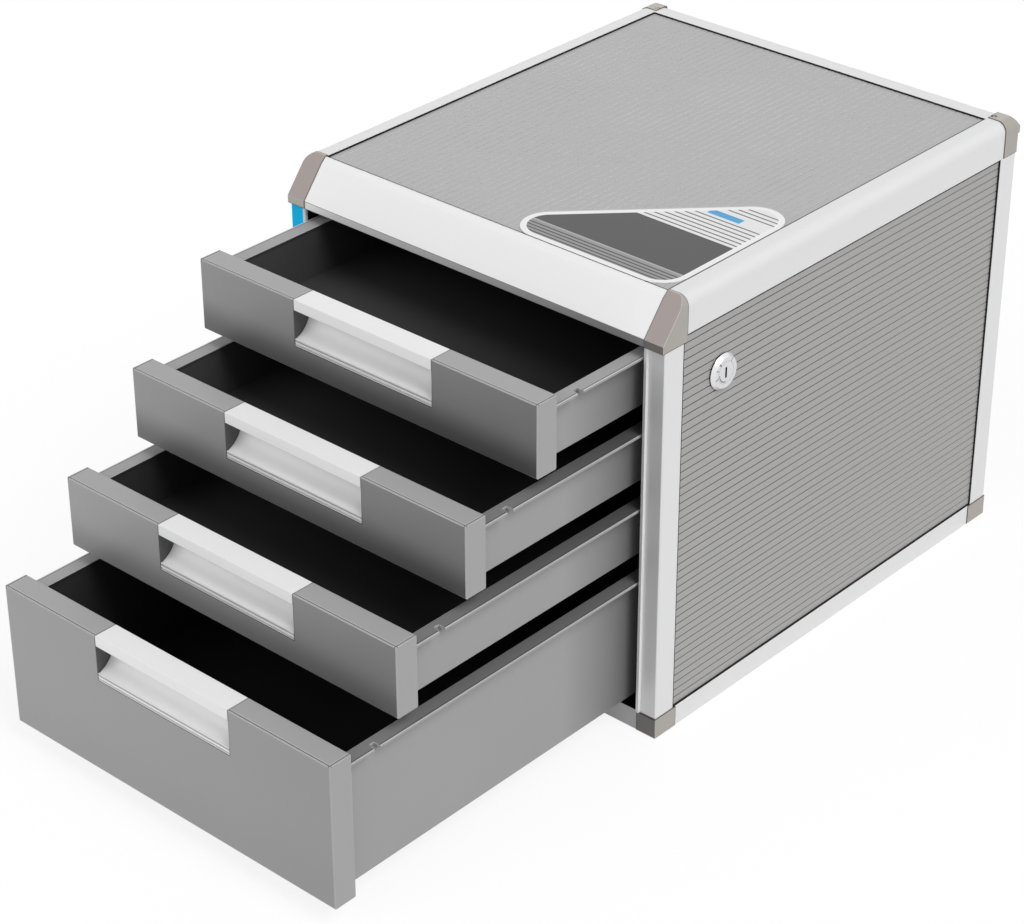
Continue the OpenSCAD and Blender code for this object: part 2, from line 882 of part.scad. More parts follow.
// Bar with a finger under each right flange and a fork on the crank pin, drawn lowered
module lock_bar() {
    low = drawer_top[3] - rim_drop - arm_top - arm_h;
    high = drawer_top[0] - rim_drop - arm_top;
    finger_y0 = bar_y - finger_l / 2;
    finger_y1 = bar_y + finger_l / 2;
    finger_x = run_x0 + bar_fit;
    slot = pin_d / 2 + bar_fit;
    fork_y1 = pin_y0 + pin_d / 4;
    color("darkslategray") {
        span([bar_x, bar_y - bar_w / 2, low], [bar_x + bar_t, bar_y + bar_w / 2, high]);
        for (i = DRAWERS) {
            z = drawer_top[i] - rim_drop - arm_top;
            along_y(finger_y0, finger_y1) polygon([
                [finger_x, z - arm_h], [bar_x + bond, z - arm_h], [bar_x + bond, z],
                [finger_x + finger_w, z], [finger_x + finger_w, z + finger_h],
                [finger_x, z + finger_h]]);
        }
        difference() {
            span([bar_x, bar_y, pin_z0 - slot - prong_h],
                [bar_x + bar_t, fork_y1, pin_z0 + slot + prong_h]);
            span([bar_x - over, lock_y - crank_r - slot, pin_z0 - slot],
                [bar_x + bar_t + over, fork_y1 + over, pin_z0 + slot]);
        }
    }
}

module lock_bar_guides() {
    y0 = bar_y - bar_w / 2 - bar_fit;
    y1 = bar_y + bar_w / 2 + bar_fit;
    x1 = bar_x + bar_t + bar_fit;
    color("black") for (i = [1, 3]) {
        z = drawer_top[i] - rim_drop + guide_h / 2;
        span([run_x + runner_t, y0 - guide_t, z], [x1 + bond, y0, z + guide_h]);
        span([run_x + runner_t, y1, z], [x1 + bond, y1 + guide_t, z + guide_h]);
        span([x1, y0 - guide_t, z], [x1 + guide_t, y1 + guide_t, z + guide_h]);
    }
}

// Labels

// A right-angled triangular plate with round corners, its square corner at the origin, in -X, +Y
module round_triangle(side, r, corner_r, t) {
    d = r / norm([1, 1]);
    linear_extrude(t) polygon([
        [-corner_r, 0], [r - side, 0], [r - side - d, r + d], [-r - d, side - r + d],
        [0, side - r], [0, corner_r]]);
    translate([-corner_r, corner_r]) cylinder(r = corner_r, h = t);
    translate([r - side, r]) cylinder(r = r, h = t);
    translate([-r, side - r]) cylinder(r = r, h = t);
}

module label_top() {
    color("lightsteelblue")
        translate([in_x - seal_w - label_in, fascia_y + seal_w + label_in, panel_z])
            round_triangle(label_side, label_r, label_corner_r, label_t);
}

module label_post() {
    color("deepskyblue") span([post_c - hx, fy - label_t, nose_z - post_label_h],
        [post_c - hx + post_label_w, fy, nose_z]);
}

// Drawers: each is drawn with the top edge of its front face at the origin

module drawer_place(i) {
    translate([0, fy - drawer_open[i], drawer_top[i]]) children();
}

// Places of the screws in a drawer front
function boss_places(h) = [for (sx = [-1, 1], z = [-rim_drop - boss_z, tray_lift + boss_z - h])
    [sx * (front_w / 2 - boss_in), z]];

// Outer block of a drawer front, with its edges chamfered
module front_block(h) {
    half = front_w / 2;
    face = half - front_c - over;
    intersection() {
        along_x(-front_w, front_w) polygon([
            [0, -front_c], [front_c, 0], [front_t, 0], [front_t, -h + front_c],
            [front_t - front_c, -h], [front_c, -h], [0, front_c - h]]);
        translate([0, 0, -h - over]) linear_extrude(h + 2 * over) polygon([
            [-face, -over], [face, -over], [half, front_c],
            [half, front_t + over], [-half, front_t + over], [-half, front_c]]);
    }
}

// Screw bosses in the cavities of a drawer front
module front_bosses(h) {
    for (p = boss_places(h)) translate([p.x, 0, p.y]) rotate([-90, 0, 0])
        cylinder(r = boss_r, h = front_t);
}

module drawer_front(h) {
    half = handle_w / 2 + handle_gap;
    end = front_w / 2 - top_line_in;
    low = tray_lift + front_skin - h;
    color("gray") difference() {
        front_block(h);
        span([-half, -over, -handle_h], [half, front_t + over, over]);
        for (m = [0, 1]) mirror([m, 0, 0]) {
            difference() {
                span([half + front_skin, front_skin, low],
                    [front_w / 2 - front_skin, front_t + over, -rim_drop - front_skin]);
                front_bosses(h);
            }
            // Line round the top
            span([half - over, top_line_in, -top_line_w], [end, top_line_in + top_line_w, over]);
            span([end - top_line_w, top_line_in, -top_line_w], [end, front_t + over, over]);
        }
        span([-half, front_skin, low], [half, front_t + over, -handle_h - front_skin]);
        for (p = boss_places(h)) translate([p.x, front_skin, p.y]) rotate([-90, 0, 0])
            cylinder(r = screw_r + screw_fit, h = front_t);
    }
}

// A flat top with a lip, a finger recess with a round scoop behind, and a foot with two steps
module drawer_handle() {
    reach = front_t - handle_t - wall_t / 2;
    foot_z = handle_foot_h - handle_h;
    step = handle_foot_h / 4;
    color("whitesmoke") along_x(-handle_w / 2, handle_w / 2) difference() {
        translate([0, -handle_h]) square([front_t, handle_h]);
        translate([handle_t, -recess_top_h]) square([reach - handle_t, recess_top_h - handle_t]);
        // The scoop
        intersection() {
            translate([-over, foot_z]) square([front_t, -recess_top_h - foot_z]);
            translate([reach - scoop_r, -recess_top_h]) circle(scoop_r);
        }
        // The mouth under the lip
        translate([-over, -recess_top_h]) square([handle_t + 2 * over, recess_top_h - handle_lip_h]);
        // The hollow behind the scoop, open at the back
        difference() {
            translate([handle_t, handle_t - handle_h])
                square([front_t, handle_h - handle_t - recess_top_h - handle_t]);
            translate([reach - scoop_r, -recess_top_h]) circle(scoop_r + handle_t);
        }
        // Steps along the foot
        for (k = [1, 3]) translate([-over, foot_z - k * step]) square([over + step / 2, step / 2]);
    }
}

// Tray: box, side flanges, a notch in the right flange, and a tab under each flange
module drawer_tray(h) {
    y0 = front_t;
    y1 = front_t + tray_l;
    top = -rim_drop;
    low = tray_lift - h;
    tab_z = top - flange_t - tab_h;
    tab_x = tray_x + tab_w;
    notch_y1 = notch_back + notch_w;
    color("gray") difference() {
        union() {
            span([-tray_x, y0, low], [tray_x, y1, top]);
            span([-flange_x, y0, top - flange_t], [flange_x, y1, top]);
            span([tray_x - bond, notch_y1 + tab_gap, tab_z],
                [tab_x, notch_y1 + tab_gap + tab_t, top - flange_t + bond]);
            span([-tab_x, y1 - tab_t, tab_z], [bond - tray_x, y1, top - flange_t + bond]);
        }
        span([tray_t - tray_x, y0 + tray_t, low + tray_t],
            [tray_x - tray_t, y1 - tray_t, top - flange_t]);
        span([tray_t + rim_in - tray_x, y0 + tray_t + rim_in, low + tray_t],
            [tray_x - tray_t - rim_in, y1 - tray_t - rim_in, top + over]);
        translate([0, 0, top - flange_t - over]) linear_extrude(flange_t + 2 * over) polygon([
            [flange_x + over, notch_back - notch_slant * over / notch_d],
            [flange_x - notch_d, notch_back + notch_slant], [flange_x - notch_d, notch_y1],
            [flange_x + over, notch_y1]]);
        for (p = boss_places(h)) translate([p.x, y0 - over, p.y]) rotate([-90, 0, 0])
            cylinder(r = screw_r + screw_fit, h = tray_t + 2 * over);
    }
}

module drawer_screws(h) {
    color("silver") for (p = boss_places(h)) translate([p.x, front_t + tray_t, p.y]) screw(screw_l);
}

module drawer_1_tray() {
    drawer_place(0) drawer_tray(drawer_h[0]);
}

module drawer_1_front() {
    drawer_place(0) drawer_front(drawer_h[0]);
}

module drawer_1_handle() {
    drawer_place(0) drawer_handle();
}

module drawer_1_screws() {
    drawer_place(0) drawer_screws(drawer_h[0]);
}

module drawer_2_tray() {
    drawer_place(1) drawer_tray(drawer_h[1]);
}

module drawer_2_front() {
    drawer_place(1) drawer_front(drawer_h[1]);
}

module drawer_2_handle() {
    drawer_place(1) drawer_handle();
}

module drawer_2_screws() {
    drawer_place(1) drawer_screws(drawer_h[1]);
}

module drawer_3_tray() {
    drawer_place(2) drawer_tray(drawer_h[2]);
}

module drawer_3_front() {
    drawer_place(2) drawer_front(drawer_h[2]);
}

module drawer_3_handle() {
    drawer_place(2) drawer_handle();
}

module drawer_3_screws() {
    drawer_place(2) drawer_screws(drawer_h[2]);
}

module drawer_4_tray() {
    drawer_place(3) drawer_tray(drawer_h[3]);
}

module drawer_4_front() {
    drawer_place(3) drawer_front(drawer_h[3]);
}

module drawer_4_handle() {
    drawer_place(3) drawer_handle();
}

module drawer_4_screws() {
    drawer_place(3) drawer_screws(drawer_h[3]);
}

bottom_rail_front();
bottom_rail_back();
bottom_rail_left();
bottom_rail_right();
post_front_left();
post_front_right();
post_back_left();
post_back_right();
top_rail_front();
top_rail_back();
top_rail_left();
top_rail_right();
cap_front_left();
cap_front_right();
cap_back_left();
cap_back_right();
foot_front_left();
foot_front_right();
foot_back_left();
foot_back_right();
panel_top();
panel_left();
panel_right();
panel_back();
panel_bottom();
bottom_screws();
seal_top();
seal_left();
seal_right();
seal_back();
runner_left();
runner_right();
runner_screws();
lock_barrel();
lock_nut();
lock_plug();
lock_crank();
lock_crank_screw();
lock_bar();
lock_bar_guides();
label_top();
label_post();
drawer_1_tray();
drawer_1_front();
drawer_1_handle();
drawer_1_screws();
drawer_2_tray();
drawer_2_front();
drawer_2_handle();
drawer_2_screws();
drawer_3_tray();
drawer_3_front();
drawer_3_handle();
drawer_3_screws();
drawer_4_tray();
drawer_4_front();
drawer_4_handle();
drawer_4_screws();
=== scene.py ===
"""Looks of a desktop drawer cabinet: silver frame, ribbed grey panels, grey drawers, white handles.

Lengths below are in millimetres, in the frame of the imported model: +X right, +Y back, +Z up.
"""
import math

import bpy
import numpy as np
from mathutils import Matrix, Vector

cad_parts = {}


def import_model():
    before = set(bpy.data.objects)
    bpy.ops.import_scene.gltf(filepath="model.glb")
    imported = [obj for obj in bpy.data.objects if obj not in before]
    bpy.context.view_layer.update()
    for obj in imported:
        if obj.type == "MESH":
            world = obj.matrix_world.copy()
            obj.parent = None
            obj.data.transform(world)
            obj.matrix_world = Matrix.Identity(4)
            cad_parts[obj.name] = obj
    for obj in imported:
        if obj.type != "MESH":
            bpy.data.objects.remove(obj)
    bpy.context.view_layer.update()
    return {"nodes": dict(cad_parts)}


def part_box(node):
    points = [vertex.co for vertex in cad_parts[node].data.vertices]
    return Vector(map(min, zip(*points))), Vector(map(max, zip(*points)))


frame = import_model()
NODES = frame["nodes"]

MM = 0.001
DRAWERS = (1, 2, 3, 4)


def corners(node):
    """Lowest and highest corner of a node, in millimetres."""
    low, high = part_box(node)
    return np.array(low) / MM, np.array(high) / MM


def linear(value):
    """Linear level of an 8-bit display level, by the sRGB curve."""
    v = value / 255
    return v / 12.92 if v <= 0.04045 else ((v + 0.055) / 1.055) ** 2.4


def colour(r, g, b):
    """Linear colour of three 8-bit display levels."""
    return (linear(r), linear(g), linear(b), 1.0)


def grey(level):
    """Linear colour of a plain grey, from its 8-bit display level."""
    return colour(level, level, level)


# Places that several finishes share

POST_LOW, POST_HIGH = corners("post_front_right")
POST_INNER, POST_OUTER = POST_LOW[0], POST_HIGH[0]
POST_FOOT = POST_LOW[2]
HALF_DEPTH = -corners("bottom_rail_front")[0][1]    # from the middle to the frame's front face
BEAD = 2.0              # width of the bead along the inner edge of a post
GROOVE_PITCH = 5.3      # from groove to groove of the ribbed sheets

# Colours of the pieces, and of painted highlights and shade

PAINTED_HIGHLIGHT = grey(253)         # painted highlight on rounded edges
PAINTED_SHADOW = grey(10)         # painted shadow, near black, on ledges and sides inside the opening
SILVER = colour(231, 231, 232)
FASCIA = grey(241)
TAUPE = colour(174, 169, 163)
TAUPE_SLOPE_SHADE = colour(162, 152, 149)
TAUPE_TOP_HIGHLIGHT = colour(196, 191, 185)
TAUPE_EDGE_HIGHLIGHT = colour(246, 241, 234)
TAUPE_SEAM = colour(40, 37, 36)
TOP_SHEET = colour(181, 180, 181)
SIDE_SHEET = colour(169, 168, 167)
GROOVE_SHADOW = colour(54, 53, 53)
ZINC = colour(196, 194, 186)
CHROME = colour(222, 222, 224)
CHROME_CONE_HIGHLIGHT = colour(238, 238, 240)
FILM_BLUE = colour(0, 196, 255)
ACCENT_BLUE = colour(56, 160, 216)


# Node helpers

class Finish:
    """One material: a Principled shader, and short ways to add the nodes that feed it.

    A mask is a value from 0 to 1 over the surface. facing is the way that a face looks.
    """

    def __init__(self, name, roughness=0.5, metallic=0.0, specular=0.5):
        self.material = bpy.data.materials.new(name)
        self.material.use_nodes = True
        self.tree = self.material.node_tree
        self.tree.nodes.clear()
        out = self.node("ShaderNodeOutputMaterial")
        self.shader = self.node("ShaderNodeBsdfPrincipled")
        self.put(out.inputs["Surface"], self.shader.outputs["BSDF"])
        self.shader.inputs["Roughness"].default_value = roughness
        self.shader.inputs["Metallic"].default_value = metallic
        self.shader.inputs["Specular IOR Level"].default_value = specular
        coordinates = self.node("ShaderNodeTexCoord")
        self.place = coordinates.outputs["Object"]
        self.x, self.y, self.z = self.split(self.place)
        self.facing = self.split(coordinates.outputs["Normal"])
        self.aside = self.size(self.x)

    def node(self, kind, **settings):
        n = self.tree.nodes.new(kind)
        for key, value in settings.items():
            setattr(n, key, value)
        return n

    def put(self, socket, value):
        """Links a socket, or sets a plain value."""
        if isinstance(value, bpy.types.NodeSocket):
            self.tree.links.new(value, socket)
        else:
            socket.default_value = value

    def split(self, vector):
        """The X, Y and Z of a vector."""
        n = self.node("ShaderNodeSeparateXYZ")
        self.put(n.inputs[0], vector)
        return list(n.outputs)

    def math(self, operation, *values, clamp=False):
        n = self.node("ShaderNodeMath", operation=operation, use_clamp=clamp)
        for socket, value in zip(n.inputs, values):
            self.put(socket, value)
        return n.outputs[0]

    def times(self, first, second):
        return self.math("MULTIPLY", first, second)

    def size(self, value):
        """A value without its sign."""
        return self.math("ABSOLUTE", value)

    def reach(self, a, b):
        """The length of a step with sides a and b."""
        return self.math("SQRT", self.math("ADD", self.times(a, a), self.times(b, b)))

    def change(self, kind, value, start, end, low, high):
        """Low where value is at start, high where it is at end."""
        n = self.node("ShaderNodeMapRange", interpolation_type=kind)
        self.put(n.inputs["Value"], value)
        levels = {"From Min": start, "From Max": end, "To Min": low, "To Max": high}
        for name, level in levels.items():
            n.inputs[name].default_value = level
        return n.outputs["Result"]

    def ramp(self, value, start, end, low=0.0, high=1.0):
        """A smooth change between two values."""
        return self.change("SMOOTHSTEP", value, start, end, low, high)

    def rise(self, place, start, end, low=0.0, high=1.0):
        """A smooth change between two places in millimetres."""
        return self.ramp(place, start * MM, end * MM, low, high)

    def slope(self, place, start, end, low, high):
        """A straight change between two places in millimetres."""
        return self.change("LINEAR", place, start * MM, end * MM, low, high)

    def within(self, place, low, high, soft=0.1):
        """1 between two places in millimetres, 0 outside them, with soft edges."""
        return self.times(self.rise(place, low - soft, low + soft),
                          self.rise(place, high + soft, high - soft))

    def both(self, *masks):
        result = masks[0]
        for mask in masks[1:]:
            result = self.times(result, mask)
        return result

    def either(self, *masks):
        result = masks[0]
        for mask in masks[1:]:
            result = self.math("MAXIMUM", result, mask)
        return result

    def box(self, low, high, soft=0.1):
        """1 inside a box between two corners in millimetres."""
        axes = (self.x, self.y, self.z)
        return self.both(*(self.within(a, l, h, soft) for a, l, h in zip(axes, low, high)))

    def front(self):
        """1 on faces that look to the front."""
        return self.ramp(self.facing[1], -0.85, -0.97)

    def upward(self):
        """1 on faces that look up."""
        return self.ramp(self.facing[2], 0.85, 0.97)

    def noise(self, scale, detail=2.0, stretch=(1, 1, 1)):
        """Noise from 0 to 1; scale is in cycles a metre, stretch multiplies it along X, Y, Z."""
        mapping = self.node("ShaderNodeMapping")
        self.put(mapping.inputs["Vector"], self.place)
        mapping.inputs["Scale"].default_value = stretch
        n = self.node("ShaderNodeTexNoise")
        self.put(n.inputs["Vector"], mapping.outputs[0])
        n.inputs["Scale"].default_value = scale
        n.inputs["Detail"].default_value = detail
        return n.outputs["Fac"]

    def about(self, value, middle, spread):
        """Noise turned into values round a middle."""
        return self.math("MULTIPLY_ADD", value, spread, middle - spread / 2)

    def mix(self, kind, factor, first, second):
        """Two colours mixed by a factor."""
        n = self.node("ShaderNodeMix", data_type="RGBA", blend_type=kind)
        for name, value in (("Factor_Float", factor), ("A_Color", first), ("B_Color", second)):
            self.put(next(s for s in n.inputs if s.identifier == name), value)
        return next(s for s in n.outputs if s.identifier == "Result_Color")

    def paint(self, base, mask, second, share=1.0):
        """Covers the base with a second colour where the mask is 1, by a share of it."""
        if share < 1.0:
            mask = self.times(mask, share)
        return self.mix("MIX", mask, base, second)

    def shade(self, base, factor):
        """A colour multiplied by a factor."""
        joined = self.node("ShaderNodeCombineXYZ")
        for socket in joined.inputs:
            self.put(socket, factor)
        return self.mix("MULTIPLY", 1.0, base, joined.outputs[0])

    def dim(self, base, mask, level):
        """A colour multiplied by a level where the mask is 1."""
        if isinstance(level, bpy.types.NodeSocket):
            drop = self.math("SUBTRACT", level, 1.0)
        else:
            drop = level - 1.0
        return self.shade(base, self.math("MULTIPLY_ADD", mask, drop, 1.0))

    def edge(self, radius):
        """1 on the sharp edges of a piece, from how a rounded normal leaves the flat one."""
        bevel = self.node("ShaderNodeBevel", samples=6)
        bevel.inputs["Radius"].default_value = radius * MM
        self.rounded = bevel.outputs[0]
        flat = self.node("ShaderNodeNewGeometry")
        dot = self.node("ShaderNodeVectorMath", operation="DOT_PRODUCT")
        self.put(dot.inputs[0], self.rounded)
        self.put(dot.inputs[1], flat.outputs["True Normal"])
        return self.ramp(dot.outputs["Value"], 0.995, 0.8)

    def bump(self, height, distance, strength, normal=None):
        """A raised grain, on the rounded normal where a piece has one."""
        n = self.node("ShaderNodeBump")
        n.inputs["Strength"].default_value = strength
        n.inputs["Distance"].default_value = distance * MM
        self.put(n.inputs["Height"], height)
        if normal is not None:
            self.put(n.inputs["Normal"], normal)
        self.put(self.shader.inputs["Normal"], n.outputs[0])

    def done(self, base, roughness=None):
        self.put(self.shader.inputs["Base Color"], base)
        if roughness is not None:
            self.put(self.shader.inputs["Roughness"], roughness)
        return self.material


def wear(finish, names):
    """Puts a finish on CAD nodes."""
    for name in names:
        slots = NODES[name].data.materials
        slots.clear()
        slots.append(finish)


# Finishes of the frame

def silver(name, along):
    """Satin silver profile with fine lines along one axis, 0 for X to 2 for Z; painted shade on its
    front faces.
    """
    f = Finish(name, roughness=0.42, metallic=0.2)
    stretch = [1.0, 1.0, 1.0]
    stretch[along] = 0.02
    lines = f.noise(2600, 2, stretch)
    base = f.shade(SILVER, f.about(lines, 1.0, 0.05))
    # Painted shade on the faces that look to the front, deepest high up
    base = f.dim(base, f.front(), f.slope(f.z, 266, 40, 0.78, 0.86))
    # Painted highlights on the sharp edges
    base = f.paint(base, f.edge(0.8), PAINTED_HIGHLIGHT, 0.85)
    if along == 0:
        # Painted shade on the front of the bottom rail, and painted shadow, near black, on the
        # ledge behind it
        base = f.dim(base, f.both(f.front(), f.rise(f.z, 30, 20)), 0.62)
        base = f.paint(base, f.both(f.upward(), f.rise(f.z, 16, 15)), PAINTED_SHADOW)
    if along == 2:
        depth = f.size(f.y)
        # Painted shadow, near black, on the sides that look into the opening behind the bead
        inward = f.ramp(f.times(f.facing[0], f.math("SIGN", f.x)), -0.6, -0.9)
        opening_shadow = f.both(inward, f.rise(f.aside, POST_INNER + 0.5, POST_INNER + 0.2),
                        f.rise(depth, HALF_DEPTH - 0.1, HALF_DEPTH - 0.6))
        base = f.paint(base, opening_shadow, PAINTED_SHADOW)
        # Painted highlight, pure white, on the sides of the bead
        bead_end = POST_INNER + BEAD
        bead_highlight = f.both(f.ramp(f.size(f.facing[0]), 0.6, 0.9),
                      f.rise(depth, HALF_DEPTH + 0.2, HALF_DEPTH + 0.4),
                      f.rise(f.aside, bead_end + 0.5, bead_end + 0.3))
        base = f.paint(base, bead_highlight, grey(255))
    f.bump(lines, 0.02, 0.4, f.rounded)
    return f.done(base, f.about(f.noise(90, 3), 0.42, 0.12))


def sloped_white():
    """Painted white rail over the drawers, with painted shade on its upright band."""
    foot = corners("top_rail_front")[0][2]
    band_top = foot + 4.6
    f = Finish("sloped_rail_white", roughness=0.4)
    grain = f.noise(1800, 2, (0.05, 1, 1))
    base = f.shade(FASCIA, f.about(grain, 1.0, 0.02))
    band = f.both(f.within(f.z, foot - 1, band_top, 0.15), f.front())
    # Painted shade on the band, darker to the right
    base = f.paint(base, band, f.shade(grey(238), f.slope(f.x, -130, 130, 1.0, 0.26)))
    # Painted highlights on the edges above the foot of the band
    base = f.paint(base, f.both(f.edge(0.8), f.rise(f.z, foot + 1.2, foot + 2)), PAINTED_HIGHLIGHT, 0.8)
    line = f.both(f.within(f.z, band_top, band_top + 0.4), f.front())
    base = f.paint(base, line, grey(60), 0.8)
    f.bump(grain, 0.015, 0.5, f.rounded)
    return f.done(base, f.about(f.noise(70, 2), 0.4, 0.08))


def taupe(name, nodes, seams):
    """Moulded plastic of the caps and feet; seams are (axis, place) of their joints, kept dark."""
    f = Finish(name, roughness=0.5)
    fine = f.noise(1500, 3)
    base = f.shade(TAUPE, f.about(fine, 1.0, 0.08))
    base = f.shade(base, f.about(f.noise(45, 2), 1.0, 0.06))
    # Painted shade, a darker and pinker grey, on the sloped faces
    sloping = f.both(f.ramp(f.facing[1], -0.3, -0.5), f.ramp(f.facing[2], 0.2, 0.4))
    base = f.paint(base, sloping, TAUPE_SLOPE_SHADE)
    # Painted light on the flat tops towards the outer sides
    base = f.paint(base, f.both(f.upward(), f.rise(f.aside, 147, 143)), TAUPE_TOP_HIGHLIGHT, 0.6)
    # Painted light and shade: the fronts on the right are darker than those on the left
    base = f.dim(base, f.front(), f.rise(f.x, 0, 20, 1.15, 0.36))
    # Painted highlights on the edges
    base = f.paint(base, f.edge(0.7), TAUPE_EDGE_HIGHLIGHT, 0.9)
    distance = (f.aside, f.y, f.z)
    joints = [f.within(distance[axis], at - 0.4, at + 0.4) for axis, at in seams]
    base = f.paint(base, f.either(*joints), TAUPE_SEAM, 0.85)
    # A painted shadow, a black line, under the front posts
    under_shadow = f.both(f.within(f.z, POST_FOOT - 1, POST_FOOT + 0.1),
                   f.within(f.aside, POST_INNER + BEAD, POST_OUTER - 0.6),
                   f.ramp(f.facing[1], -0.5, -0.7))
    base = f.paint(base, under_shadow, grey(8))
    f.bump(fine, 0.03, 0.5, f.rounded)
    wear(f.done(base, f.about(f.noise(160, 2), 0.5, 0.14)), nodes)


def ribbed(name, node, axis, sheet, patchy):
    """Coated sheet with painted shade, a dark line, in each groove; axis is the one across the
    grooves.

    Where it is patchy, the lines fade in and out, and the flanks of the grooves carry painted light
    and shade.
    """
    low, high = corners(node)
    width = high[axis] - low[axis]
    count = math.floor(width / GROOVE_PITCH)
    first = low[axis] + (width - (count - 1) * GROOVE_PITCH) / 2
    f = Finish(name, roughness=0.45, metallic=0.15)
    # part runs from -0.5 to 0.5 between the middles of two ribs, with the groove at 0
    turns = f.math("MULTIPLY_ADD", (f.x, f.y, f.z)[axis], 1 / (GROOVE_PITCH * MM),
                   0.5 - first / GROOVE_PITCH)
    part = f.math("SUBTRACT", f.math("FRACT", turns), 0.5)
    distance = f.times(f.size(part), GROOVE_PITCH)
    speckle = f.noise(1250, 2)
    base = f.shade(sheet, f.about(speckle, 1.0, 0.28))
    base = f.shade(base, f.about(f.noise(9, 3), 1.0, 0.05))
    if patchy:
        # Painted light and shade on the flanks: one flank of each groove is lifted by a fifth, the
        # other a little less than the sheet
        lift = f.math("MULTIPLY_ADD", f.ramp(part, -0.02, 0.02), -0.22, 1.2)
        base = f.dim(base, f.ramp(distance, 0.62, 0.5), lift)
        strength = f.math("MULTIPLY_ADD", f.ramp(f.noise(7, 2), 0.42, 0.66), 0.5, 0.04)
        groove_shade = f.times(f.ramp(distance, 0.42, 0.1), strength)
    else:
        # The painted groove shade is weaker towards the back
        strength = f.rise(f.y, -120, 100, 0.95, 0.6)
        groove_shade = f.times(f.ramp(distance, 0.46, 0.18), strength)
    # Painted shade in the grooves
    base = f.paint(base, groove_shade, GROOVE_SHADOW, 0.92)
    f.bump(speckle, 0.02, 0.5)
    return f.done(base, f.about(speckle, 0.45, 0.1))


def plain(name, base, grain, detail, spread, height, strength=0.4, **shader):
    """One colour with a raised grain; spread is how far the grain lightens and darkens it."""
    f = Finish(name, **shader)
    fine = f.noise(grain, detail)
    f.bump(fine, height, strength)
    f.fine = fine
    return f, f.shade(base, f.about(fine, 1.0, spread))


def rubber():
    """Dull black rubber of the seals round the panels."""
    f, base = plain("seal_black", grey(26), 900, 2, 0.3, 0.03, 0.5, roughness=0.8, specular=0.2)
    return f.done(base)


def runner_black():
    """Dull black plastic of the runner plates and the bar's guides."""
    f, base = plain("runner_black", grey(14), 500, 3, 0.3, 0.03, roughness=0.85, specular=0.08)
    return f.done(base)


def bottom_board():
    """Dark board under the cabinet."""
    f, base = plain("bottom_board", colour(24, 24, 25), 420, 3, 0.15, 0.05,
                    roughness=0.7, specular=0.2)
    return f.done(base)


def steel():
    """Zinc-plated steel of screws and lock parts."""
    f, base = plain("plated_steel", ZINC, 700, 3, 0.12, 0.01, roughness=0.3, metallic=1.0)
    return f.done(base, f.about(f.fine, 0.3, 0.16))


# Lines on the lock's ring: their turn from the back, in radians, and their half width
RING_RAYS = ((2.25, 0.09), (2.72, 0.05), (-2.9, 0.06), (0.9, 0.05))


def chrome(name, node):
    """Polished lock face: painted shade, black, on the rim towards the front, a painted highlight
    on the cone, and fine dark rays.
    """
    low, high = corners(node)
    middle = (low + high) / 2
    f = Finish(name, roughness=0.28, metallic=0.55)
    fine = f.noise(260, 2)
    base = f.shade(CHROME, f.about(fine, 1.0, 0.05))
    dy = f.math("SUBTRACT", f.y, middle[1] * MM)
    dz = f.math("SUBTRACT", f.z, middle[2] * MM)
    radius = f.reach(dy, dz)
    turn = f.math("ARCTAN2", dz, dy)
    outward = f.facing[0]
    if node == "lock_barrel":
        outer = (high[2] - low[2]) / 2
        # Painted highlight on the cone
        base = f.paint(base, f.ramp(outward, 0.9, 0.8), CHROME_CONE_HIGHLIGHT)
        # Painted shade, black, on the rim where it looks to the front
        base = f.paint(base, f.both(f.ramp(outward, 0.3, 0.2), f.rise(dy, 5, 2)), grey(4))
        for angle, width in RING_RAYS:
            ray = f.ramp(f.size(f.math("SUBTRACT", turn, angle)), width, width * 0.3)
            ray = f.both(ray, f.within(radius, outer - 4.4, outer - 1.7, 0.2))
            base = f.paint(base, ray, colour(40, 40, 42), 0.8)
        inner = f.within(radius, outer - 4.7, outer - 4.3)
        base = f.paint(base, inner, colour(60, 60, 62), 0.5)
    else:
        arc = f.both(f.within(radius, 5.6, 6.3, 0.15), f.ramp(turn, -1.4, -1.8),
                     f.ramp(outward, 0.7, 0.9))
        base = f.paint(base, arc, colour(46, 46, 48), 0.85)
        # Painted shade, near black, on the sides of the key slot
        base = f.paint(base, f.ramp(outward, 0.5, 0.2), grey(8))
    wear(f.done(base, f.about(fine, 0.28, 0.08)), [node])


# Finishes of the drawers

# Painted shade levels on the front faces of the drawers: left end, right end, and lower edge
FRONT_SHADE_LEVELS = {1: (0.80, 0.46, 0.42), 2: (0.86, 0.52, 0.46),
                3: (0.98, 0.58, 0.66), 4: (0.92, 0.80, 0.95)}
CUT_HALF, CUT_DEEP = 55.0, 31.0         # half the width, and the depth, of a handle's cut-out
TRAY_WALL, TRAY_FLANGE = 2.2, 7.0       # thickness of a tray's walls, and reach of its flanges


def drawer_grey(f, level):
    """Moulded grey with a slight mottle."""
    f.fine = f.noise(1300, 2)
    base = f.shade(colour(level, level - 1, level), f.about(f.fine, 1.0, 0.05))
    return f.shade(base, f.about(f.noise(16, 2), 1.0, 0.04))


